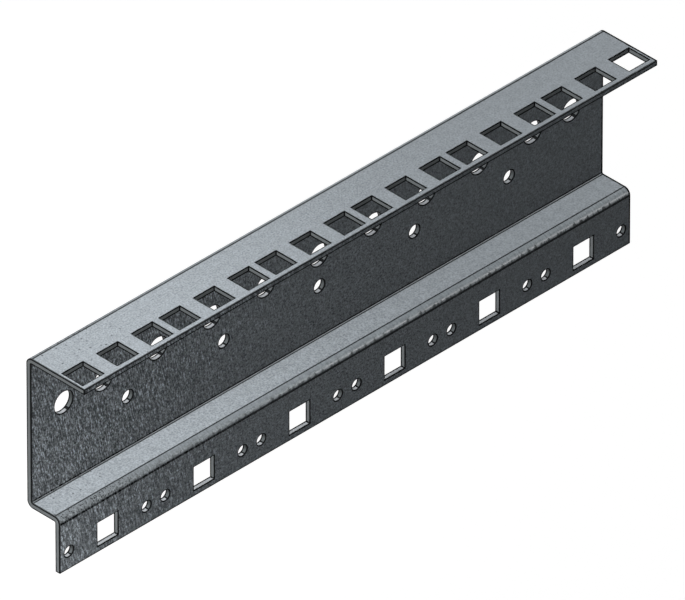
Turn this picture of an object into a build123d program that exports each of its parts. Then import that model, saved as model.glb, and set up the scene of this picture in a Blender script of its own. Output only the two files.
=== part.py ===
from build123d import *

import os

# Stepped rack rail, folded from one steel sheet and punched. Sizes are in millimetres.
# X runs along the rail. Y runs up the section, from the lower flange to the front flange.
# Z runs forward from the web, the way both flanges stand.
# The origin is on the web's back face, midway along the rail and halfway up the section.

# Rack units that the rail spans, and what each end stops short of the last boundary
unit_count = 6
unit_pitch = 44.45
end_setback = 0.1

# Sheet
sheet = 2.0
bend_inside_radius = 0.5

# Folded section, measured outside
section_height = 80.0
web_height = 60.0
front_flange_width = 27.0
step_width = 15.0

# Square cage-nut holes: three to a unit in the front flange, one in the lower flange
square_hole = 9.5
front_hole_pitch = 15.875
front_holes_per_unit = 3
front_hole_edge = 7.0
lower_hole_edge = 7.0

# Screw holes in the lower flange, one on each side of every boundary between units
lower_screw_hole = 4.2
lower_screw_setback = 4.35

# Screw holes in the web, one on every boundary between units
web_screw_hole = 5.0
web_screw_depth = 37.5

# Bolt holes in the web: an even row about the middle, and one more near each end
web_bolt_hole = 8.5
web_bolt_depth = 25.0
web_bolt_pitch = 25.0
web_bolt_count = 9
web_bolt_end = 15.0

rail_length = unit_count * unit_pitch - 2 * end_setback
bend_outside_radius = bend_inside_radius + sheet

# Heights on the section, from the outside face of the front flange down
front_face = section_height / 2
web_bolt_line = front_face - web_bolt_depth
web_screw_line = front_face - web_screw_depth
step_underside = front_face - web_height
lower_edge = front_face - section_height
lower_hole_line = lower_edge + lower_hole_edge

# Forward of the web's back
front_hole_line = front_flange_width - front_hole_edge
lower_flange_back = step_width - sheet

# Outer faces that the holes are punched from
section_end = Plane.YZ.offset(-rail_length / 2)
front_flange_face = Plane.XZ.offset(-front_face)
web_face = Plane.XY.offset(sheet)
lower_flange_face = Plane.XY.offset(step_width)


with BuildPart() as rack_rail:
    # The back of the sheet is drawn from edge to edge and given the sheet's thickness
    with BuildSketch(section_end):
        with BuildLine():
            FilletPolyline(
                (front_face, front_flange_width),
                (front_face, 0),
                (step_underside, 0),
                (step_underside, lower_flange_back),
                (lower_edge, lower_flange_back),
                radius=[bend_outside_radius, bend_outside_radius, bend_inside_radius],
            )
            offset(amount=sheet, side=Side.RIGHT)
        make_face()
    extrude(amount=rail_length)

    # Square holes in the front flange, on the pitch of rack equipment
    with BuildSketch(front_flange_face):
        with Locations((0, front_hole_line)):
            with GridLocations(unit_pitch, 0, unit_count, 1):
                with GridLocations(front_hole_pitch, 0, front_holes_per_unit, 1):
                    Rectangle(square_hole, square_hole)
    extrude(amount=sheet, mode=Mode.SUBTRACT)

    # Square holes at the middle of each unit of the lower flange
    with BuildSketch(lower_flange_face):
        with Locations((0, lower_hole_line)):
            with GridLocations(unit_pitch, 0, unit_count, 1):
                Rectangle(square_hole, square_hole)
    extrude(amount=-sheet, mode=Mode.SUBTRACT)

    # Screw holes beside them, in pairs that face each other across the unit boundaries
    with BuildSketch(lower_flange_face):
        with Locations((0, lower_hole_line)):
            with GridLocations(unit_pitch, 0, unit_count, 1):
                with GridLocations(unit_pitch - 2 * lower_screw_setback, 0, 2, 1):
                    Circle(lower_screw_hole / 2)
    extrude(amount=-sheet, mode=Mode.SUBTRACT)

    # Screw holes along the web
    with BuildSketch(web_face):
        with Locations((0, web_screw_line)):
            with GridLocations(unit_pitch, 0, unit_count - 1, 1):
                Circle(web_screw_hole / 2)
    extrude(amount=-sheet, mode=Mode.SUBTRACT)

    # Bolt holes along the web, above the screw holes
    with BuildSketch(web_face):
        with Locations((0, web_bolt_line)):
            with GridLocations(web_bolt_pitch, 0, web_bolt_count, 1):
                Circle(web_bolt_hole / 2)
            with GridLocations(rail_length - 2 * web_bolt_end, 0, 2, 1):
                Circle(web_bolt_hole / 2)
    extrude(amount=-sheet, mode=Mode.SUBTRACT)

rack_rail.part.label = "rack_rail"

os.makedirs("parts", exist_ok=True)
export_step(rack_rail.part, "parts/rack_rail.step")
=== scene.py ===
"""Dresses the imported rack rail: one folded and punched steel sheet on a pale floor, under plain soft light.

Lengths are in metres in the rail's own frame: X runs along the rail, Y up its section and Z forward from its
web. Upright faces look along Z, as the web does, and level faces look along Y, as the front flange does.
"""

import logging
import math
from dataclasses import dataclass, field
from enum import Enum

import bpy
from mathutils import Matrix, Vector


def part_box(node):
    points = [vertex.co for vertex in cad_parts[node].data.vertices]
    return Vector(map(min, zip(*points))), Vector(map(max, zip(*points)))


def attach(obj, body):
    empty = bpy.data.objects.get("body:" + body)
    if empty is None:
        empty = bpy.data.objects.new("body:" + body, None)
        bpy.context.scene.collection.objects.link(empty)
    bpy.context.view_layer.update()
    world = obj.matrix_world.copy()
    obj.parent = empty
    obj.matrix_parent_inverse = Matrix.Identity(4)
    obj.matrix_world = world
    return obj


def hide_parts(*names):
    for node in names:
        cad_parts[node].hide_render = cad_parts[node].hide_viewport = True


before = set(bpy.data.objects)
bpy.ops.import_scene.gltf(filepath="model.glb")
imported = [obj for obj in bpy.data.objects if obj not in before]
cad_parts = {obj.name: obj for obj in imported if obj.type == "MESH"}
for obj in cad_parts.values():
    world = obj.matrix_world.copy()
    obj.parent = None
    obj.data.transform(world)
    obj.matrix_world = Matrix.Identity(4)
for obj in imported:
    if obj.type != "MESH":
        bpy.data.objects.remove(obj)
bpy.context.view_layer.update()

log = logging.getLogger("rack_rail")

MM = 0.001


class Shape(Enum):
    """Shape of a punch."""

    SQUARE = "square"
    ROUND = "round"


class Skin(Enum):
    """Slots of the rail's mesh, one for each finish of the sheet; some finishes are painted shade and painted
    dark lines.
    """

    FACE = 0
    EDGE = 1
    CREASE = 2
    BEND = 3
    WALL = 4
    BORE = 5
    SILL = 6
    RIM = 7
    END = 8


@dataclass(frozen=True)
class Punch:
    """One row of like holes through the sheet.

    Attributes:
        name: what the row is called in the log.
        shape: square or round.
        size: side or diameter.
        through: the axis that the punch travels along, "Y" or "Z".
        line: the row's place on the other of those two axes.
        face: the outer face of the sheet there, on the through axis.
        stations: places of the holes along the rail.
    """

    name: str
    shape: Shape
    size: float
    through: str
    line: float
    face: float
    stations: tuple[float, ...]

    @property
    def way(self) -> Vector:
        """Direction that the punch travels in, out of the sheet."""
        return Vector((0.0, 1.0, 0.0)) if self.through == "Y" else Vector((0.0, 0.0, 1.0))


def row(count: int, pitch: float, middle: float = 0.0) -> tuple[float, ...]:
    """Gives evenly spaced places about a middle.

    Args:
        count: how many places.
        pitch: spacing from one to the next.
        middle: centre of the row.

    Returns:
        The places, lowest first.
    """
    return tuple(middle + (i - (count - 1) / 2) * pitch for i in range(count))


def deselect_all() -> None:
    """Leaves no object selected."""
    bpy.ops.object.select_all(action="DESELECT")


def activate(piece: bpy.types.Object) -> None:
    """Selects one object alone and makes it the active one."""
    deselect_all()
    piece.select_set(True)
    bpy.context.view_layer.objects.active = piece


def apply_modifiers(piece: bpy.types.Object) -> None:
    """Applies every modifier of a piece in order."""
    activate(piece)
    for modifier in list(piece.modifiers):
        bpy.ops.object.modifier_apply(modifier=modifier.name)


@dataclass(frozen=True)
class Bend:
    """A quarter bend of the sheet about a line along the rail.

    Attributes:
        name: what it is called in the log.
        centre: the line that the sheet turns about, at X 0.
        first: direction from the line to the sheet where the bend starts.
        last: the same where the bend ends.
        first_mark: width of the dark line painted where the bend starts.
        last_mark: the same where the bend ends.
    """

    name: str
    centre: Vector
    first: Vector
    last: Vector
    first_mark: float
    last_mark: float

    def entry(self, radius: float) -> Vector:
        """Gives the point at a radius where the bend starts."""
        return self.centre + radius * self.first

    def leave(self, radius: float) -> Vector:
        """Gives the point at a radius where the bend ends."""
        return self.centre + radius * self.last

    def turn(self) -> float:
        """Gives the angle for the spin operator, which turns left-handed when Blender has no window."""
        return -math.copysign(math.pi / 2, self.first.cross(self.last).x)


@dataclass
class FoldedSheet:
    """The rail itself: a sheet folded along three lines and punched with five rows of holes.

    Attributes:
        low: lowest corner of the rail's box.
        high: highest corner of the rail's box.
        sheet: thickness of the sheet.
        inside_radius: radius of a bend on its inner side.
        web_height: height from the step's underside to the top of the front flange.
        step_width: distance from the back of the web to the face of the lower flange.
        unit_count: how many rack units the rail has.
        unit_pitch: length of a rack unit.
        square_hole: side of a square hole.
        square_hole_edge: distance from the middle of a square hole to the flange's free edge.
        front_holes_per_unit: square holes of the front flange to a unit.
        front_hole_pitch: spacing of the square holes inside a unit.
        lower_screw_hole: diameter of a screw hole of the lower flange.
        lower_screw_setback: distance from the middle of that hole to the nearest end of its unit.
        web_screw_hole: diameter of a screw hole of the web.
        web_screw_depth: distance from the top of the front flange down to the web's screw holes.
        web_bolt_hole: diameter of a bolt hole of the web.
        web_bolt_depth: distance from the top of the front flange down to the bolt holes.
        web_bolt_pitch: spacing of the row of bolt holes.
        web_bolt_count: how many bolt holes the row has.
        web_bolt_end: distance from each end of the rail to the bolt hole that stands by itself there.
        bend_steps: faces round a bend.
        bend_margin: how far past a bend's outer side its faces are looked for.
        round_sides: sides of a round hole.
        punch_clearance: how far under the sheet a punch starts, and how far above it the punch ends.
        thin_mark: width of the faintest painted bend line.
        plain_mark: width of the usual painted bend line.
        heavy_mark: width of the heaviest painted bend line, which is also painted shade at the foot of the
            step's outer bend.
        hole_edge: width of the dark strip along a hole's edges.
        wall_line: width of the dark line along the inner rim of a hole's wall.
        outline_edge: width of the dark strip along the sheet's own edges.
        flange_edge: width of the line along the foot of the front free edge.
        far_edge: width of the line round the far end.
        sill_from: upward share of its normal past which a piece of a hole's wall is its sill, which keeps
            near the steel's own colour.
        seam_from: the same for the dark seam line painted beside the sill, where the painted shade starts.
        end_on: share of its normal along the rail past which a face counts as cut across the rail.
        touching: distance under which two places are one.
        sharp_angle: angle past which an edge is sharp.
        smooth_angle: angle under which the shading runs on from face to face.
    """

    low: Vector
    high: Vector
    sheet: float = 2.0 * MM
    inside_radius: float = 0.5 * MM
    web_height: float = 60.0 * MM
    step_width: float = 15.0 * MM
    unit_count: int = 6
    unit_pitch: float = 44.45 * MM
    square_hole: float = 9.5 * MM
    square_hole_edge: float = 7.0 * MM
    front_holes_per_unit: int = 3
    front_hole_pitch: float = 15.875 * MM
    lower_screw_hole: float = 4.2 * MM
    lower_screw_setback: float = 4.35 * MM
    web_screw_hole: float = 5.0 * MM
    web_screw_depth: float = 37.5 * MM
    web_bolt_hole: float = 8.5 * MM
    web_bolt_depth: float = 25.0 * MM
    web_bolt_pitch: float = 25.0 * MM
    web_bolt_count: int = 9
    web_bolt_end: float = 15.0 * MM
    bend_steps: int = 24
    bend_margin: float = 0.2 * MM
    round_sides: int = 48
    punch_clearance: float = 2.0 * MM
    thin_mark: float = 0.5 * MM
    plain_mark: float = 0.6 * MM
    heavy_mark: float = 0.82 * MM
    hole_edge: float = 0.35 * MM
    wall_line: float = 0.55 * MM
    outline_edge: float = 0.45 * MM
    flange_edge: float = 0.52 * MM
    far_edge: float = 0.7 * MM
    sill_from: float = 0.92
    seam_from: float = 0.80
    end_on: float = 0.5
    touching: float = 0.001 * MM
    sharp_angle: float = math.radians(40)
    smooth_angle: float = math.radians(30)

    @property
    def length(self) -> float:
        """Length along the rail."""
        return self.high.x - self.low.x

    @property
    def outside_radius(self) -> float:
        """Radius of a bend on its outer side."""
        return self.inside_radius + self.sheet

    @property
    def reach(self) -> float:
        """Distance from a bend's line that takes in the bend's faces on both sides of the sheet."""
        return self.outside_radius + self.bend_margin

    @property
    def step_under(self) -> float:
        """Height of the step's underside."""
        return self.high.y - self.web_height

    def bends(self) -> list[Bend]:
        """Lists the bends, from the front flange down."""
        up, down = Vector((0.0, 1.0, 0.0)), Vector((0.0, -1.0, 0.0))
        back, forward = Vector((0.0, 0.0, -1.0)), Vector((0.0, 0.0, 1.0))
        outer = self.outside_radius
        return [
            Bend(
                "front flange", Vector((0.0, self.high.y - outer, outer)), up, back,
                self.plain_mark, self.plain_mark,
            ),
            Bend(
                "inside of the step", Vector((0.0, self.step_under + outer, outer)), back, down,
                self.plain_mark, self.thin_mark,
            ),
            Bend(
                "outside of the step",
                Vector((0.0, self.step_under - self.inside_radius, self.step_width - outer)), up, forward,
                self.thin_mark, self.heavy_mark,
            ),
        ]

    def punches(self) -> list[Punch]:
        """Lists the rows of holes, from the front flange down."""
        units = row(self.unit_count, self.unit_pitch)
        front = tuple(
            x for unit in units for x in row(self.front_holes_per_unit, self.front_hole_pitch, unit)
        )
        screw_reach = self.unit_pitch / 2 - self.lower_screw_setback
        screws = tuple(unit + side * screw_reach for unit in units for side in (-1, 1))
        bolt_reach = self.length / 2 - self.web_bolt_end
        bolts = row(self.web_bolt_count, self.web_bolt_pitch) + (-bolt_reach, bolt_reach)
        front_line = self.high.z - self.square_hole_edge
        lower_line = self.low.y + self.square_hole_edge
        return [
            Punch(
                "front flange square holes", Shape.SQUARE, self.square_hole, "Y",
                front_line, self.high.y, front,
            ),
            Punch(
                "web bolt holes", Shape.ROUND, self.web_bolt_hole, "Z",
                self.high.y - self.web_bolt_depth, self.sheet, bolts,
            ),
            Punch(
                "web screw holes", Shape.ROUND, self.web_screw_hole, "Z",
                self.high.y - self.web_screw_depth, self.sheet, row(self.unit_count - 1, self.unit_pitch),
            ),
            Punch(
                "lower flange square holes", Shape.SQUARE, self.square_hole, "Z",
                lower_line, self.step_width, units,
            ),
            Punch(
                "lower flange screw holes", Shape.ROUND, self.lower_screw_hole, "Z",
                lower_line, self.step_width, screws,
            ),
        ]

    def build(self) -> bpy.types.Object:
        """Folds the sheet, paints dark lines where its bends start and end, punches it and paints dark
        outlines along its sharp edges.

        Returns:
            The finished rail.
        """
        rail = self.fold()
        self.mark_bends(rail)
        for punch in self.punches():
            self.cut(rail, punch)
            log.info("punched %d %s", len(punch.stations), punch.name)
        self.mark_sills(rail)
        self.mark_ends(rail)
        self.mark_edges(rail)
        self.mark_dark_lines(rail)
        activate(rail)
        bpy.ops.object.shade_smooth_by_angle(angle=self.smooth_angle)
        return rail

    def fold(self) -> bpy.types.Object:
        """Draws the sheet out of its front free edge, round each bend in turn."""
        middle = self.inside_radius + self.sheet / 2
        here = Vector((0.0, self.high.y - self.sheet / 2, self.high.z))
        foot = Vector((0.0, self.low.y, self.step_width - self.sheet / 2))
        bpy.ops.mesh.primitive_plane_add(size=1.0, location=here)
        rail = bpy.context.active_object
        rail.name = "rack_rail_sheet"
        rail.data.name = "rack_rail_sheet"
        for _ in Skin:
            rail.data.materials.append(None)
        rail.scale = (self.length, self.sheet, 1.0)
        bpy.ops.object.transform_apply(location=True, scale=True)
        bpy.ops.object.mode_set(mode="EDIT")
        bpy.ops.mesh.select_mode(type="FACE")
        bpy.ops.mesh.select_all(action="SELECT")
        mark = 0.0
        for bend in self.bends():
            self.draw_out(bend.entry(middle) - here, mark, bend.first_mark / 2)
            bpy.ops.mesh.spin(
                steps=self.bend_steps, angle=bend.turn(), center=bend.centre, axis=(1.0, 0.0, 0.0)
            )
            here, mark = bend.leave(middle), bend.last_mark / 2
        self.draw_out(foot - here, mark, 0.0)
        bpy.ops.mesh.select_all(action="SELECT")
        bpy.ops.mesh.remove_doubles(threshold=self.touching)
        bpy.ops.mesh.normals_make_consistent(inside=False)
        bpy.ops.object.mode_set(mode="OBJECT")
        return rail

    def draw_out(self, run: Vector, start_mark: float, end_mark: float) -> None:
        """Extrudes the selected end of the sheet by a straight run.

        Args:
            run: how far, and which way.
            start_mark: length at the start that is kept as faces of its own.
            end_mark: the same at the end.
        """
        way = run.normalized()
        for part in (start_mark, run.length - start_mark - end_mark, end_mark):
            if part > 0.0:
                bpy.ops.mesh.extrude_region_move(TRANSFORM_OT_translate={"value": way * part})

    def is_end(self, face: bpy.types.MeshPolygon) -> bool:
        """Tells whether a face is cut across the rail, as its two ends are."""
        return abs(face.normal.x) > self.end_on

    def mark_bends(self, rail: bpy.types.Object) -> None:
        """Gives the bends their finish, and paints the lines where each one starts and ends dark."""
        for bend in self.bends():
            for face in rail.data.polygons:
                if self.is_end(face):
                    continue
                across = Vector((0.0, face.center.y, face.center.z))
                spoke = across - bend.centre
                if spoke.dot(bend.first) > 0.0 and spoke.dot(bend.last) > 0.0 and spoke.length < self.reach:
                    face.material_index = Skin.BEND.value
                for radius in (self.inside_radius, self.outside_radius):
                    starts = (across - bend.entry(radius)).length < bend.first_mark / 2
                    ends = (across - bend.leave(radius)).length < bend.last_mark / 2
                    if starts or ends:
                        face.material_index = Skin.CREASE.value
            log.info("painted dark lines on the bend: %s", bend.name)

    def tool(self, punch: Punch, place: Vector) -> bpy.types.Object:
        """Makes the punch of one hole.

        Args:
            punch: the row that the hole belongs to.
            place: middle of its lower end.

        Returns:
            The punch, drawn out in two lengths, so that the line along the hole's inner rim has faces of its
            own.
        """
        turn = (-math.pi / 2, 0.0, 0.0) if punch.through == "Y" else (0.0, 0.0, 0.0)
        if punch.shape is Shape.SQUARE:
            bpy.ops.mesh.primitive_plane_add(size=punch.size, location=place, rotation=turn)
        else:
            bpy.ops.mesh.primitive_circle_add(
                vertices=self.round_sides, radius=punch.size / 2, fill_type="NGON",
                location=place, rotation=turn,
            )
        inner = self.punch_clearance + self.wall_line
        outer = self.sheet + self.punch_clearance - self.wall_line
        bpy.ops.object.mode_set(mode="EDIT")
        bpy.ops.mesh.select_all(action="SELECT")
        for part in (inner, outer):
            bpy.ops.mesh.extrude_region_move(TRANSFORM_OT_translate={"value": punch.way * part})
        bpy.ops.mesh.select_all(action="SELECT")
        bpy.ops.mesh.normals_make_consistent(inside=False)
        bpy.ops.object.mode_set(mode="OBJECT")
        return bpy.context.active_object

    def cutter(self, punch: Punch) -> bpy.types.Object:
        """Makes the tools of one row of holes, joined into one mesh."""
        under = punch.face - self.sheet - self.punch_clearance
        places = [
            Vector((x, under, punch.line) if punch.through == "Y" else (x, punch.line, under))
            for x in punch.stations
        ]
        first = self.tool(punch, places[0])
        tools = [first]
        for place in places[1:]:
            tool = first.copy()
            tool.data = first.data.copy()
            tool.location = place
            bpy.context.collection.objects.link(tool)
            tools.append(tool)
        activate(first)
        for tool in tools:
            tool.select_set(True)
        bpy.ops.object.join()
        first.data.materials.clear()
        for _ in Skin:
            first.data.materials.append(None)
        # Round holes' walls take a darker colour: painted shade.
        wall = Skin.WALL if punch.shape is Shape.SQUARE else Skin.BORE
        line_end = self.punch_clearance + self.wall_line
        for face in first.data.polygons:
            face.material_index = (wall if face.center.z > line_end else Skin.RIM).value
        return first

    def cut(self, rail: bpy.types.Object, punch: Punch) -> None:
        """Takes one row of holes out of the rail."""
        tool = self.cutter(punch)
        difference = rail.modifiers.new(punch.name, "BOOLEAN")
        difference.operation = "DIFFERENCE"
        difference.solver = "EXACT"
        difference.object = tool
        apply_modifiers(rail)
        bpy.data.objects.remove(tool)

    def mark_sills(self, rail: bpy.types.Object) -> None:
        """Gives the lowest part of each hole's wall a finish of its own, near the steel's own colour, with a
        dark seam line painted where it ends and where the painted shade of a round hole's wall starts.
        """
        for face in rail.data.polygons:
            if face.material_index in (Skin.WALL.value, Skin.BORE.value):
                if face.normal.y > self.sill_from:
                    face.material_index = Skin.SILL.value
                # A dark seam line is painted where the painted shade of the wall starts.
                elif face.normal.y > self.seam_from and face.normal.x < 0.0:
                    face.material_index = Skin.RIM.value

    def mark_ends(self, rail: bpy.types.Object) -> None:
        """Gives the sheet's cut ends their finish."""
        for face in rail.data.polygons:
            if self.is_end(face) and face.material_index == Skin.FACE.value:
                face.material_index = Skin.END.value

    def mark_edges(self, rail: bpy.types.Object) -> None:
        """Lays a dark strip along both sides of every sharp edge."""
        for width, strip in ((self.hole_edge, Skin.RIM), (self.outline_edge, Skin.EDGE)):
            activate(rail)
            bpy.ops.object.mode_set(mode="EDIT")
            bpy.ops.mesh.select_mode(type="EDGE")
            bpy.ops.mesh.select_all(action="DESELECT")
            bpy.ops.mesh.edges_select_sharp(sharpness=self.sharp_angle)
            bpy.ops.object.mode_set(mode="OBJECT")
            points = rail.data.vertices
            for face in rail.data.polygons:
                face.select = False
            for edge in rail.data.edges:
                if edge.select:
                    edge.select = self.edge_width(*(points[i].co for i in edge.vertices)) == width
            bpy.ops.object.mode_set(mode="EDIT")
            bpy.ops.mesh.bevel(
                offset=width, segments=2, profile=1.0, material=strip.value,
                loop_slide=False, clamp_overlap=False,
            )
            bpy.ops.object.mode_set(mode="OBJECT")

    def edge_width(self, start: Vector, end: Vector) -> float:
        """Gives the width of the strips along an edge of a hole or of the sheet."""
        outline = ((0, self.low.x), (0, self.high.x), (1, self.low.y), (2, self.high.z))
        for axis, at in outline:
            if all(abs(point[axis] - at) < self.touching for point in (start, end)):
                return self.outline_edge
        return self.hole_edge

    def mark_dark_lines(self, rail: bpy.types.Object) -> None:
        """Lays the darker strips: round the far end, at the foot of the free edge and on the cut ends."""
        far = Vector((self.high.x - self.far_edge, 0.0, 0.0))
        under = Vector((0.0, self.high.y - self.sheet + self.flange_edge, 0.0))
        activate(rail)
        bpy.ops.object.mode_set(mode="EDIT")
        for place, way in ((far, (1.0, 0.0, 0.0)), (under, (0.0, 1.0, 0.0))):
            bpy.ops.mesh.select_all(action="SELECT")
            bpy.ops.mesh.bisect(plane_co=place, plane_no=way)
        bpy.ops.object.mode_set(mode="OBJECT")
        free = self.high.z - self.touching
        for face in rail.data.polygons:
            round_far_end = face.center.x > far.x and not self.is_end(face)
            under_edge = face.center.z > free and face.center.y < under.y
            on_cut_end = face.material_index == Skin.EDGE.value and self.is_end(face)
            if round_far_end or under_edge or on_cut_end:
                face.material_index = Skin.RIM.value


Value = bpy.types.NodeSocket | float


class Nodes:
    """Adds and joins the nodes of one material, world or group."""

    def __init__(self, tree: bpy.types.NodeTree) -> None:
        """Keeps the tree that the nodes go into."""
        self.tree = tree

    def add(self, kind: str, label: str = "", **settings) -> bpy.types.Node:
        """Adds a node.

        Args:
            kind: the node's type name.
            label: the text over it.
            settings: its properties by name.

        Returns:
            The node.
        """
        node = self.tree.nodes.new(kind)
        node.label = label
        for name, value in settings.items():
            setattr(node, name, value)
        return node

    def feed(self, socket: bpy.types.NodeSocket, value: Value | tuple[float, ...]) -> None:
        """Links a socket's source to it, or sets it to a constant."""
        if isinstance(value, bpy.types.NodeSocket):
            self.tree.links.new(value, socket)
        else:
            socket.default_value = value

    def math(self, operation: str, *values: Value) -> bpy.types.NodeSocket:
        """Adds a Math node and gives its result."""
        node = self.add("ShaderNodeMath", operation=operation)
        for socket, value in zip(node.inputs, values):
            self.feed(socket, value)
        return node.outputs["Value"]

    def ramp(
        self, value: Value, low: Value, high: Value, to_low: Value = 0.0, to_high: Value = 1.0
    ) -> bpy.types.NodeSocket:
        """Maps a value smoothly from one range to another and gives the result."""
        node = self.add("ShaderNodeMapRange", interpolation_type="SMOOTHSTEP")
        for name, setting in (
            ("Value", value), ("From Min", low), ("From Max", high), ("To Min", to_low), ("To Max", to_high)
        ):
            self.feed(node.inputs[name], setting)
        return node.outputs["Result"]

    def change(self, mask: Value, amount: Value) -> bpy.types.NodeSocket:
        """Gives 1 changed by an amount where the mask is."""
        return self.math("MULTIPLY_ADD", mask, amount, 1.0)

    def signed(self, value: Value) -> bpy.types.NodeSocket:
        """Spreads a value of 0 to 1 over -1 to 1."""
        return self.math("MULTIPLY_ADD", value, 2.0, -1.0)

    def split(self, vector: bpy.types.NodeSocket) -> bpy.types.bpy_prop_collection:
        """Splits a vector and gives its parts by axis."""
        node = self.add("ShaderNodeSeparateXYZ")
        self.feed(node.inputs[0], vector)
        return node.outputs

    def join(self, **parts: Value) -> bpy.types.NodeSocket:
        """Joins parts, named by axis and 0 where left out, and gives the vector."""
        node = self.add("ShaderNodeCombineXYZ")
        for axis, value in parts.items():
            self.feed(node.inputs[axis], value)
        return node.outputs["Vector"]


class MillGrain:
    """Node group of the steel's grain. Places are in metres and fineness in cells to the metre.

    Upright faces have streaks that lean a little and are fainter low down. Upright and level faces have a
    speckle, and every face has an even blotch. The streaks and the speckle are grain, whose contrast is
    painted stronger on the upright faces as painted glints. The glints are strongest at the end of the rail
    at low X, up to a slanted border, and past it only a share of them is left over; the speckle is painted
    fainter towards the far end. Both stand for light that falls off along the rail. Pits lie near the low-X
    end alone. Fine strokes run across the bends, and a bend is painted darker, with a ragged edge, where it
    comes upright: painted shade.

    Attributes:
        name: name of the group.
        inputs: names of its inputs, with their usual values.
        outputs: names of its outputs.
        turned: shares of a normal between which a face comes to count as upright or level.
        low_band: heights between which the streaks come to their full strength.
        streak_levels: the darkest and the lightest that the streaks go.
        speckle_band: places along the rail between which the speckle is painted fainter, as the light falls
            off.
        speckle_levels: strength of the speckle at each of them.
        mottle_size: size of the blotch's cells, in widths of a streak.
        pit_core: share of a pit's radius over which it is darkest.
        clump_band: values of the blotch between which pits come up.
        bend_end: shares of a normal between which the painted shade at a bend's foot comes up.
        foot_shade_lost: share of that painted shade that is lost at the low-X end, where the glints are
            painted.
    """

    name: str = "mill_grain"
    # The Worn inputs place the end where the glints are painted strongest, and the Fray inputs shape the
    # ragged edge of the painted shade at a bend's foot.
    inputs: tuple[tuple[str, float], ...] = (
        ("Fineness", 1900.0), ("Grit Stretch", 2.0), ("Streak Stretch", 5.0), ("Streak Share", 0.5),
        ("Lean", 0.22), ("Low", 0.40), ("High", 0.72), ("Speckle Size", 1.15), ("Pit Spacing", 1.6),
        ("Pit Share", 0.2), ("Pit Size", 0.34), ("Pits From", -0.112), ("Pits To", -0.088),
        ("Worn From", -0.10), ("Worn To", 0.01), ("Worn Slope", -0.6), ("Left Over", 0.12),
        ("Low Share", 0.78), ("Upright Share", 1.9), ("Fray Fineness", 650.0), ("Fray Reach", 1.7),
        ("Stroke Fineness", 1500.0),
    )
    outputs: tuple[str, ...] = ("Glint End", "Streaks", "Speckle", "Mottle", "Pits", "Across", "Foot Shade")
    turned: tuple[float, float] = (0.5, 0.9)
    low_band: tuple[float, float] = (-0.035, -0.01)
    streak_levels: tuple[float, float] = (-0.75, 2.1)
    speckle_band: tuple[float, float] = (0.0, 0.09)
    speckle_levels: tuple[float, float] = (0.75, 0.5)
    mottle_size: float = 5.0
    pit_core: float = 0.4
    clump_band: tuple[float, float] = (0.32, 0.48)
    bend_end: tuple[float, float] = (0.92, 0.99)
    foot_shade_lost: float = 0.6

    @classmethod
    def group(cls) -> bpy.types.NodeTree:
        """Gives the group, made at its first use."""
        return bpy.data.node_groups.get(cls.name) or cls().tree

    def __init__(self) -> None:
        """Makes the group and lays each mark in it."""
        self.tree = bpy.data.node_groups.new(self.name, "ShaderNodeTree")
        for name, usual in self.inputs:
            socket = self.tree.interface.new_socket(name, in_out="INPUT", socket_type="NodeSocketFloat")
            socket.default_value = usual
        for name in self.outputs:
            self.tree.interface.new_socket(name, in_out="OUTPUT", socket_type="NodeSocketFloat")
        self.nodes = Nodes(self.tree)
        self.given = self.nodes.add("NodeGroupInput").outputs
        self.result = self.nodes.add("NodeGroupOutput").inputs
        where = self.nodes.add("ShaderNodeTexCoord")
        self.place = where.outputs["Object"]
        self.at = self.nodes.split(self.place)
        facing = self.nodes.split(where.outputs["Normal"])
        upright, level = (
            self.nodes.ramp(self.nodes.math("ABSOLUTE", facing[axis]), *self.turned) for axis in "ZY"
        )
        glint_end = self.lay_glint_end()
        self.lay_streaks(upright, glint_end)
        self.lay_speckle(upright, level)
        self.lay_pits(self.lay_mottle())
        self.lay_bend_marks(facing["Z"], glint_end)

    def noise(
        self, place: bpy.types.NodeSocket, fineness: Value, label: str,
        stretch: Value = 1.0, detail: float = 1.0,
    ) -> bpy.types.NodeSocket:
        """Adds a noise drawn out along Y and gives its value.

        Args:
            place: where it is looked up, in metres.
            fineness: cells to the metre across the streaks.
            label: the text over it.
            stretch: how many times longer than wide a cell is.
            detail: how many finer octaves it has.

        Returns:
            The socket of its value.
        """
        scale = self.nodes.join(X=fineness, Y=self.nodes.math("DIVIDE", fineness, stretch), Z=fineness)
        stretched = self.nodes.add("ShaderNodeVectorMath", operation="MULTIPLY")
        self.nodes.feed(stretched.inputs[0], place)
        self.nodes.feed(stretched.inputs[1], scale)
        noise = self.nodes.add("ShaderNodeTexNoise", label)
        for name, value in (("Vector", stretched.outputs["Vector"]), ("Scale", 1.0), ("Detail", detail)):
            self.nodes.feed(noise.inputs[name], value)
        return noise.outputs["Fac"]

    def lay_glint_end(self) -> bpy.types.NodeSocket:
        """Lays the end of the rail where the glints are painted strongest, with its slanted border, and gives
        its mask.
        """
        border = self.nodes.math("MULTIPLY_ADD", self.at["Y"], self.given["Worn Slope"], self.at["X"])
        glint_end = self.nodes.ramp(border, self.given["Worn From"], self.given["Worn To"], 1.0, 0.0)
        self.nodes.feed(self.result["Glint End"], glint_end)
        return glint_end

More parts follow.
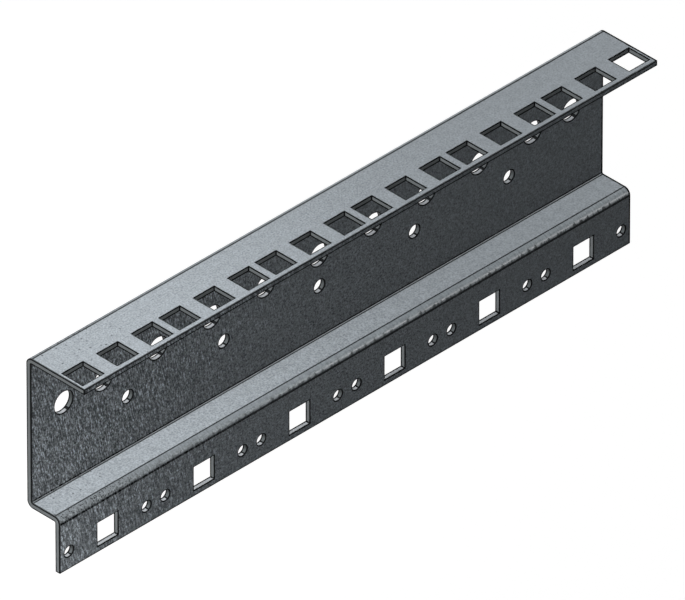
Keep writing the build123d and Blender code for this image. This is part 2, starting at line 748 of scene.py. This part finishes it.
    def lay_streaks(self, upright: bpy.types.NodeSocket, glint_end: bpy.types.NodeSocket) -> None:
        """Lays the leaning streaks of the upright faces: grain, made brighter as painted glints that are
        strongest at the low-X end.
        """
        nodes, given = self.nodes, self.given
        across = nodes.math("MULTIPLY_ADD", self.at["Y"], given["Lean"], self.at["X"])
        leaning = nodes.join(X=across, Y=self.at["Y"], Z=self.at["Z"])
        grit = self.noise(leaning, given["Fineness"], "grit", given["Grit Stretch"], detail=3.0)
        streak = self.noise(leaning, given["Fineness"], "streaks", given["Streak Stretch"])
        blend = nodes.add("ShaderNodeMix", "streaked grit", data_type="FLOAT")
        factor, _, first, second = blend.inputs[:4]
        for socket, value in ((factor, given["Streak Share"]), (first, grit), (second, streak)):
            nodes.feed(socket, value)
        marks = nodes.ramp(blend.outputs[0], given["Low"], given["High"], *self.streak_levels)
        calm = nodes.ramp(self.at["Y"], *self.low_band, given["Low Share"], 1.0)
        # The streaks fade away from the low-X end: painted glints that follow the light.
        fade = nodes.math("MULTIPLY", nodes.math("MAXIMUM", glint_end, given["Left Over"]), calm)
        shown = nodes.math("MULTIPLY", upright, fade)
        nodes.feed(self.result["Streaks"], nodes.math("MULTIPLY", marks, shown))

    def lay_speckle(self, upright: bpy.types.NodeSocket, level: bpy.types.NodeSocket) -> None:
        """Lays the speckle, which is painted stronger on the upright faces and fainter towards the far end:
        painted glints of light that falls off along the rail.
        """
        nodes, given = self.nodes, self.given
        coarser = nodes.math("DIVIDE", given["Fineness"], given["Speckle Size"])
        fine = nodes.signed(self.noise(self.place, coarser, "speckle"))
        spread = nodes.math("MULTIPLY_ADD", upright, given["Upright Share"], level)
        # The speckle is painted fainter towards the far end, as the light falls off there.
        lasting = nodes.ramp(self.at["X"], *self.speckle_band, *self.speckle_levels)
        speckle = nodes.math("MULTIPLY", fine, spread)
        nodes.feed(self.result["Speckle"], nodes.math("MULTIPLY", speckle, lasting))

    def lay_mottle(self) -> bpy.types.NodeSocket:
        """Lays the even blotch and gives it."""
        coarse = self.nodes.math("DIVIDE", self.given["Fineness"], self.mottle_size)
        mottle = self.noise(self.place, coarse, "mottle", detail=2.0)
        self.nodes.feed(self.result["Mottle"], mottle)
        return mottle

    def lay_pits(self, mottle: bpy.types.NodeSocket) -> None:
        """Lays the pits, which come up in clumps near the worn end."""
        nodes, given = self.nodes, self.given
        pits = nodes.add("ShaderNodeTexVoronoi", "pits")
        nodes.feed(pits.inputs["Vector"], self.place)
        nodes.feed(pits.inputs["Scale"], nodes.math("DIVIDE", 1.0 / MM, given["Pit Spacing"]))
        chance = nodes.add("ShaderNodeSeparateColor")
        nodes.feed(chance.inputs["Color"], pits.outputs["Color"])
        some = nodes.math("LESS_THAN", chance.outputs["Red"], given["Pit Share"])
        core = nodes.math("MULTIPLY", given["Pit Size"], self.pit_core)
        dot = nodes.ramp(pits.outputs["Distance"], core, given["Pit Size"], 1.0, 0.0)
        near = nodes.ramp(self.at["X"], given["Pits From"], given["Pits To"], 1.0, 0.0)
        clumped = nodes.math("MULTIPLY", nodes.ramp(mottle, *self.clump_band), near)
        nodes.feed(self.result["Pits"], nodes.math("MULTIPLY", nodes.math("MULTIPLY", dot, some), clumped))

    def lay_bend_marks(self, forward: bpy.types.NodeSocket, glint_end: bpy.types.NodeSocket) -> None:
        """Lays the strokes across a bend, and the painted shade, with a ragged edge, where its normal comes
        to look forward.
        """
        nodes, given = self.nodes, self.given
        along = nodes.join(X=self.at["X"])
        stroke = self.noise(along, given["Stroke Fineness"], "strokes across the bend", detail=2.0)
        nodes.feed(self.result["Across"], nodes.signed(stroke))
        notch = self.noise(along, given["Fray Fineness"], "ragged end of the bend", detail=3.0)
        ragged = nodes.math("MULTIPLY", nodes.math("SUBTRACT", notch, 0.5), given["Fray Reach"])
        # Painted shade at the bend's foot, where its normal turns forward, with a ragged edge.
        shaded_foot = nodes.ramp(nodes.math("ADD", forward, ragged), *self.bend_end)
        nodes.feed(self.result["Foot Shade"], nodes.math("MULTIPLY", shaded_foot, nodes.change(glint_end, -self.foot_shade_lost)))


@dataclass(frozen=True)
class SteelFinish:
    """One finish of the rail's steel.

    Attributes:
        name: name of the material.
        color: base colour where the grain is even.
        roughness: roughness of the same place.
        metallic: share of bare metal in the sheen.
        specular: specular level of the rest.
        streak: how far the streaks, grain lit up as painted glints, change the colour, as a share of it.
        speckle: how far the speckle changes it.
        mottle: how far the even blotch changes it, and the roughness.
        pit: how far a pit darkens it.
        pit_spacing: distance from one place for a pit to the next, in millimetres.
        pit_share: share of those places that have one.
        pit_size: radius of a pit, as a share of that distance.
        foot_shade_and_strokes: how far the painted shade at the foot of a bend darkens it, and how far the
            strokes across it change it.
        glint_end_shade: how far the end of the rail where the glints are painted is painted darker: painted
            shade.
        mottle_color: values of the blotch between which the colour changes.
        mottle_rough: values of the blotch between which the roughness changes.
        pit_rough: how much rougher a pit is.
        foot_shade_rough: how much rougher the painted shade at a bend's foot is, as a share of fray.
        stroke_rough: how far the strokes change the roughness, as a share of fray.
        glint_end_rough: how much rougher that end is, as a share of wear.
    """

    name: str
    color: tuple[float, float, float]
    roughness: float = 0.35
    metallic: float = 0.0
    specular: float = 0.03
    streak: float = 0.72
    speckle: float = 0.83
    mottle: float = 0.05
    pit: float = 0.62
    pit_spacing: float = 1.6
    pit_share: float = 0.3
    pit_size: float = 0.34
    foot_shade_and_strokes: float = 0.0
    glint_end_shade: float = 0.0
    mottle_color: tuple[float, float] = (0.3, 0.7)
    mottle_rough: tuple[float, float] = (0.2, 0.8)
    pit_rough: float = 0.4
    foot_shade_rough: float = 1 / 2
    stroke_rough: float = 1 / 3
    glint_end_rough: float = 1 / 2

    def material(self) -> bpy.types.Material:
        """Builds the material."""
        made = bpy.data.materials.new(self.name)
        made.use_nodes = True
        nodes = Nodes(made.node_tree)
        shader = made.node_tree.nodes["Principled BSDF"]
        shader.inputs["Metallic"].default_value = self.metallic
        shader.inputs["Specular IOR Level"].default_value = self.specular
        grain = nodes.add("ShaderNodeGroup", "grain", node_tree=MillGrain.group())
        grain.inputs["Pit Spacing"].default_value = self.pit_spacing
        grain.inputs["Pit Share"].default_value = self.pit_share
        grain.inputs["Pit Size"].default_value = self.pit_size
        masks = grain.outputs
        level = nodes.change(masks["Streaks"], self.streak)
        for share in (
            nodes.change(masks["Speckle"], self.speckle),
            nodes.ramp(masks["Mottle"], *self.mottle_color, 1.0 - self.mottle, 1.0 + self.mottle),
            nodes.change(masks["Pits"], -self.pit),
            # Painted shade at the foot of a bend.
            nodes.change(masks["Foot Shade"], -self.foot_shade_and_strokes),
            nodes.change(masks["Across"], self.foot_shade_and_strokes),
            # Painted shade: darker at the low-X end, where the glints are painted.
            nodes.change(masks["Glint End"], -self.glint_end_shade),
        ):
            level = nodes.math("MULTIPLY", level, share)
        tint = nodes.add("ShaderNodeVectorMath", operation="SCALE")
        nodes.feed(tint.inputs[0], self.color)
        nodes.feed(tint.inputs["Scale"], level)
        nodes.feed(shader.inputs["Base Color"], tint.outputs["Vector"])
        smoothest, roughest = self.roughness - self.mottle, self.roughness + self.mottle
        rough = nodes.ramp(masks["Mottle"], *self.mottle_rough, smoothest, roughest)
        for mask, amount in (
            ("Pits", self.pit_rough),
            ("Foot Shade", self.foot_shade_and_strokes * self.foot_shade_rough),
            ("Across", self.foot_shade_and_strokes * self.stroke_rough),
            ("Glint End", self.glint_end_shade * self.glint_end_rough),
        ):
            rough = nodes.math("MULTIPLY_ADD", masks[mask], amount, rough)
        nodes.feed(shader.inputs["Roughness"], rough)
        return made


FINISHES: dict[Skin, SteelFinish] = {
    # The face's streaks and speckle carry painted glints.
    Skin.FACE: SteelFinish("mill_steel", (0.365, 0.40, 0.43)),
    # Painted shade: the bend's colour is painted darker than the face's, and darker again at the low-X end,
    # where the glints are painted.
    Skin.BEND: SteelFinish(
        "bend_painted_shade", (0.285, 0.318, 0.34), roughness=0.41, specular=0.5, streak=0.5, speckle=0.6, pit=0.9,
        pit_spacing=0.8, pit_share=1.0, pit_size=0.5, foot_shade_and_strokes=0.75, glint_end_shade=0.27,
    ),
    # Painted dark lines where the bends start and end.
    Skin.CREASE: SteelFinish(
        "painted_bend_line", (0.046, 0.050, 0.053), roughness=0.6, specular=0.05, streak=2.0, speckle=0.1, pit=0.0
    ),
    # Painted dark outlines along the sharp edges.
    Skin.EDGE: SteelFinish(
        "painted_edge_outline", (0.045, 0.049, 0.052), roughness=0.6, specular=0.05, streak=0.1, speckle=0.1, pit=0.0
    ),
    Skin.END: SteelFinish("sheared_end", (0.38, 0.41, 0.42), streak=0.0, speckle=0.0, pit=0.0),
    # Painted darker lines along the holes' edges and the inner rims of their walls, round the far end, at the
    # foot of the free edge and on the cut ends, and the dark seam beside each hole's sill.
    Skin.RIM: SteelFinish(
        "painted_dark_line", (0.012, 0.013, 0.014), roughness=0.6, streak=0.0, speckle=0.0, pit=0.0
    ),
    Skin.WALL: SteelFinish("square_hole_wall", (0.355, 0.385, 0.395), streak=0.0, speckle=0.0, pit=0.0),
    # Painted shade: the walls of the round holes are painted darker than the steel.
    Skin.BORE: SteelFinish("round_hole_wall_painted_shade", (0.155, 0.17, 0.175), streak=0.0, speckle=0.0, pit=0.0),
    Skin.SILL: SteelFinish("hole_sill", (0.40, 0.42, 0.44), streak=0.0, speckle=0.3, pit=0.0),
}


@dataclass(frozen=True)
class Lamp:
    """One soft lamp of the studio: a panel, or a spot where it has a cone.

    Attributes:
        name: what it is called.
        place: where it stands.
        target: what it points at.
        size: width and height of its face.
        power: watts.
        cone: angle of a spot's cone, which fades all the way out, or 0 for a panel.
        shadows: whether the rail casts a shadow in it.
        bounces: whether its light goes on from one face to the next.
        sheen_only: whether it is seen in the sheen alone.
    """

    name: str
    place: tuple[float, float, float]
    target: tuple[float, float, float]
    size: tuple[float, float]
    power: float
    cone: float = 0.0
    shadows: bool = True
    bounces: bool = True
    sheen_only: bool = False

    def light(self) -> bpy.types.Object:
        """Stands the lamp in the scene."""
        data = bpy.data.lights.new(self.name, "SPOT" if self.cone else "AREA")
        if self.cone:
            data.spot_size = self.cone
            data.spot_blend = 1.0
            data.shadow_soft_size = max(self.size) / 2
        else:
            data.shape = "RECTANGLE"
            data.size, data.size_y = self.size
        data.energy = self.power
        data.use_shadow = self.shadows
        if not self.bounces:
            data.cycles.max_bounces = 0
        lamp = bpy.data.objects.new(self.name, data)
        lamp.matrix_world = Matrix.Translation(self.place) @ (
            (Vector(self.place) - Vector(self.target)).to_track_quat("Z", "Y").to_matrix().to_4x4()
        )
        lamp.visible_diffuse = not self.sheen_only
        bpy.context.scene.collection.objects.link(lamp)
        return lamp


@dataclass
class Studio:
    """A pale floor with a white backdrop and plain soft lamps.

    Attributes:
        floor_size: side of the floor.
        floor_glow: how strongly the floor glows for what shows it.
        floor_shade: colour of the same floor, which the lamps and the rail's shadow fall on.
        floor_color: colour of the floor for the light that it throws back on the rail.
        ambient: colour of the world's light on the rail.
        backdrop: heights of a direction between which the white backdrop fades out.
        lamps: the lamps.
    """

    floor_size: float = 60.0
    floor_glow: float = 0.965
    floor_shade: float = 0.3
    floor_color: float = 0.8
    ambient: tuple[float, float, float] = (0.019, 0.020, 0.021)
    backdrop: tuple[float, float] = (0.08, 0.30)
    lamps: tuple[Lamp, ...] = (
        Lamp(
            "key_lamp", (-0.6, 2.0, 0.05), (0.0, 0.0, 0.0), (0.3, 0.06), 30.8,
            shadows=False, bounces=False,
        ),
        Lamp(
            "near_half_lamp", (-0.12, 2.0, 0.05), (-0.12, 0.0, 0.01), (0.1, 0.1), 27.5,
            cone=math.radians(10.0), shadows=False, bounces=False,
        ),
        Lamp(
            "near_third_lamp", (-0.12, 2.0, 0.05), (-0.12, 0.0, 0.01), (0.1, 0.1), 30.0,
            cone=math.radians(7.0), shadows=False, bounces=False,
        ),
        Lamp(
            "front_lamp", (0.0, 0.0, 2.0), (0.0, 0.0, 0.0), (0.1, 0.1), 2.3, shadows=False, bounces=False,
        ),
        Lamp(
            "near_end_lamp", (-0.16, -0.03, 0.06), (-0.12, -0.03, 0.0), (0.03, 0.03), 0.0072,
            shadows=False, bounces=False,
        ),
        Lamp(
            "high_lamp", (-0.2, 0.0, 0.2), (-0.10, -0.01, 0.0), (0.08, 0.08), 0.029,
            shadows=False, bounces=False,
        ),
        Lamp("side_lamp", (-2.0, 0.0, 0.1), (0.0, 0.0, 0.0), (0.1, 0.1), 4.8, shadows=False, bounces=False),
        Lamp(
            "bend_lamp", (1.2, 0.55, 1.6), (0.0, 0.0, 0.0), (0.3, 0.3), 14.5,
            shadows=False, bounces=False, sheen_only=True,
        ),
        Lamp("back_lamp", (0.4, -1.0, 0.015), (0.0, 0.0, 0.015), (0.4, 0.02), 3.0, bounces=False),
        Lamp("overhead_lamp", (0.1, -0.1, 0.9), (0.0, 0.0, 0.0), (0.6, 0.6), 0.12),
    )

    def seen(self, nodes: Nodes) -> bpy.types.NodeSocket:
        """Gives 1 for a ray that shows the backdrop: to the camera, or in gloss or glass."""
        path = nodes.add("ShaderNodeLightPath")
        clear = nodes.math("MAXIMUM", path.outputs["Is Glossy Ray"], path.outputs["Is Transmission Ray"])
        return nodes.math("MAXIMUM", path.outputs["Is Camera Ray"], clear)

    def floor(self) -> bpy.types.Object:
        """Lays the floor, which keeps a faint shadow."""
        deselect_all()
        bpy.ops.mesh.primitive_plane_add(size=self.floor_size, location=(0.0, 0.0, 0.0))
        laid = bpy.context.active_object
        laid.name = "studio_floor"
        made = bpy.data.materials.new("studio_floor")
        made.use_nodes = True
        tree = made.node_tree
        tree.nodes.clear()
        nodes = Nodes(tree)
        plain = nodes.add("ShaderNodeBsdfDiffuse")
        plain.inputs["Color"].default_value = (self.floor_color,) * 3 + (1.0,)
        shade = nodes.add("ShaderNodeBsdfDiffuse")
        shade.inputs["Color"].default_value = (self.floor_shade,) * 3 + (1.0,)
        glow = nodes.add("ShaderNodeEmission")
        glow.inputs["Strength"].default_value = self.floor_glow
        white = nodes.add("ShaderNodeAddShader")
        nodes.feed(white.inputs[0], shade.outputs[0])
        nodes.feed(white.inputs[1], glow.outputs[0])
        both = nodes.add("ShaderNodeMixShader")
        nodes.feed(both.inputs[0], self.seen(nodes))
        nodes.feed(both.inputs[1], plain.outputs[0])
        nodes.feed(both.inputs[2], white.outputs[0])
        nodes.feed(nodes.add("ShaderNodeOutputMaterial").inputs["Surface"], both.outputs[0])
        laid.data.materials.append(made)
        return laid

    def world(self) -> bpy.types.World:
        """Makes the world: dim to the rail, and white low down to what shows it."""
        made = bpy.data.worlds.new("studio")
        made.use_nodes = True
        tree = made.node_tree
        tree.nodes.clear()
        nodes = Nodes(tree)
        dim = nodes.add("ShaderNodeBackground")
        dim.inputs["Color"].default_value = self.ambient + (1.0,)
        white = nodes.add("ShaderNodeBackground")
        white.inputs["Color"].default_value = (1.0, 1.0, 1.0, 1.0)
        way = nodes.split(nodes.add("ShaderNodeTexCoord").outputs["Generated"])
        low = nodes.ramp(way["Z"], *self.backdrop, 1.0, 0.0)
        both = nodes.add("ShaderNodeMixShader")
        nodes.feed(both.inputs[0], nodes.math("MULTIPLY", low, self.seen(nodes)))
        nodes.feed(both.inputs[1], dim.outputs[0])
        nodes.feed(both.inputs[2], white.outputs[0])
        nodes.feed(nodes.add("ShaderNodeOutputWorld").inputs["Surface"], both.outputs[0])
        bpy.context.scene.world = made
        return made

    def set_up(self) -> None:
        """Lays the floor, makes the world and stands the lamps."""
        self.floor()
        self.world()
        for lamp in self.lamps:
            lamp.light()
            log.info("%s: %.2f W", lamp.name, lamp.power)
        bpy.context.scene.view_settings.view_transform = "Standard"


@dataclass
class PhotoCamera:
    """A very long lens that looks at the rail along an isometric line, as the drawing does.

    Attributes:
        aim: the point in the middle of the picture.
        toward: direction from there to the camera.
        upright: direction that is up in the picture.
        view_width: width of the picture at the aim.
        sensor: width of the sensor, in millimetres.
        lens: focal length, in millimetres.
        nearest: distance at which the view starts.
        farthest: distance at which it ends.
    """

    aim: Vector = field(default_factory=lambda: Vector((-0.00039, 0.00264, 0.01314)))
    toward: Vector = field(default_factory=lambda: Vector((-1.0, 1.0, 1.0)).normalized())
    upright: Vector = field(default_factory=lambda: Vector((0.0, 1.0, 0.0)))
    view_width: float = 0.22583
    sensor: float = 36.0
    lens: float = 1480.0
    nearest: float = 0.1
    farthest: float = 60.0

    def place(self) -> bpy.types.Object:
        """Makes the camera the scene's own.

        Returns:
            The camera.
        """
        data = bpy.data.cameras.new("photo_camera")
        data.sensor_width = self.sensor
        data.lens = self.lens
        data.clip_start = self.nearest
        data.clip_end = self.farthest
        camera = bpy.data.objects.new("photo_camera", data)
        bpy.context.scene.collection.objects.link(camera)
        up = (self.upright - self.upright.dot(self.toward) * self.toward).normalized()
        right = up.cross(self.toward)
        distance = self.view_width * self.lens / self.sensor
        turn = Matrix((right, up, self.toward)).transposed().to_4x4()
        camera.matrix_world = Matrix.Translation(self.aim + self.toward * distance) @ turn
        bpy.context.scene.camera = camera
        return camera


def main() -> None:
    """Builds the rail, dresses it and sets up the studio and camera."""
    logging.basicConfig(level=logging.INFO, format="%(name)s: %(message)s")
    sheet = FoldedSheet(*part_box("rack_rail"))
    rail = sheet.build()
    for skin, finish in FINISHES.items():
        rail.data.materials[skin.value] = finish.material()
    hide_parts("rack_rail")
    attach(rail, "root")
    log.info("%s: %d faces", rail.name, len(rail.data.polygons))
    Studio().set_up()
    PhotoCamera().place()


if __name__ == "__main__":
    main()
